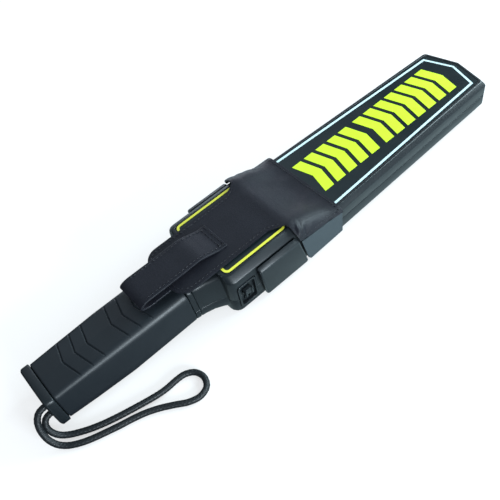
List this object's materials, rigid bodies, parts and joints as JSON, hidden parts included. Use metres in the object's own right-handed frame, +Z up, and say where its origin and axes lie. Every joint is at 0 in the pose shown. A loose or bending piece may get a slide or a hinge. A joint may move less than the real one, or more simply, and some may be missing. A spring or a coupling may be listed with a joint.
{
  "type": "hand-held metal detector wand",
  "caption": "Flat-paddle hand-held metal detector with a control housing, slide switch, push pad, battery grip, wrist cord and a slip-on leather belt holster.",
  "frame": {"origin": "centre of the object's bounding box at the level of the surface it lies on, measured without the wrist cord", "axes": "+X from the grip's end towards the paddle's tip, +Y to the left seen from the grip, +Z up from the flat underside to the panel"},
  "size_m": [0.4295, 0.1083, 0.0466],
  "materials": {
    "black_abs": "moulded black ABS, satin, fine texture",
    "grip_rubber": "black grip plastic, finely textured",
    "cord_weave": "braided black cord",
    "label_film": "printed dark film, semi-gloss",
    "pale_ink": "pale printed line",
    "lime_ink": "lime printed marks",
    "yellow_ink": "yellow printed line",
    "lamp_green": "clear green lens",
    "lamp_amber": "clear amber lens",
    "lamp_red": "clear red lens",
    "steel": "plated steel",
    "board_green": "solder mask on a circuit board",
    "white_plastic": "natural moulded plastic",
    "copper": "enamelled copper wire, wound",
    "battery_case": "wrapped steel battery case",
    "lead_sheath": "red insulated wire",
    "leather": "black grained leather, slightly glossy",
    "elastic": "black woven elastic band"
  },
  "bodies": {
    "wand": {"lower_shell": "black_abs", "upper_shell": "black_abs", "grip_sleeve": "grip_rubber", "paddle_label": "label_film", "label_border": "pale_ink", "label_mark_1": "lime_ink", "label_mark_2": "lime_ink", "label_mark_3": "lime_ink", "label_mark_4": "lime_ink", "label_mark_5": "lime_ink", "label_mark_6": "lime_ink", "label_mark_7": "lime_ink", "label_mark_8": "lime_ink", "label_mark_9": "lime_ink", "label_mark_10": "lime_ink", "label_mark_11": "lime_ink", "label_mark_12": "lime_ink", "panel_label": "label_film", "panel_border": "yellow_ink", "lamp_lens_1": "lamp_green", "lamp_lens_2": "lamp_amber", "lamp_lens_3": "lamp_red", "side_pad": "black_abs", "button_switch": "steel", "switch_bezel": "black_abs", "slide_switch_body": "steel", "earphone_socket": "black_abs", "circuit_board": "board_green", "speaker": "steel", "coil_former": "white_plastic", "transmit_coil": "copper", "receive_coil": "copper", "battery": "battery_case", "battery_clip": "black_abs", "battery_tray": "black_abs", "vibration_motor": "steel", "battery_lead": "lead_sheath", "housing_screw_1": "steel", "housing_screw_2": "steel", "housing_screw_3": "steel", "housing_screw_4": "steel", "housing_screw_5": "steel", "housing_screw_6": "steel"},
    "knob": {"slide_switch_knob": "black_abs"},
    "push_pad": {"sensitivity_button": "black_abs"},
    "cap": {"end_cap": "black_abs", "cord_grommet": "grip_rubber", "wrist_cord": "cord_weave"},
    "holster": {"holster_cover": "leather", "holster_band": "elastic", "belt_loop": "leather"}
  },
  "joints": [
    {"name": "power_slide", "type": "slide", "parent": "wand", "child": "knob", "axis": [1, 0, 0], "range_m": [-0.002, 0.002]},
    {"name": "pad_press", "type": "slide", "parent": "wand", "child": "push_pad", "axis": [0, 1, 0], "range_m": [0, 0.0012], "stiffness_N_per_m": 900, "springref_m": -0.001},
    {"name": "cap_pull", "type": "slide", "parent": "wand", "child": "cap", "axis": [-1, 0, 0], "range_m": [0, 0.04]},
    {"name": "holster_slip", "type": "slide", "parent": "wand", "child": "holster", "axis": [1, 0, 0], "range_m": [0, 0.235]}
  ]
}
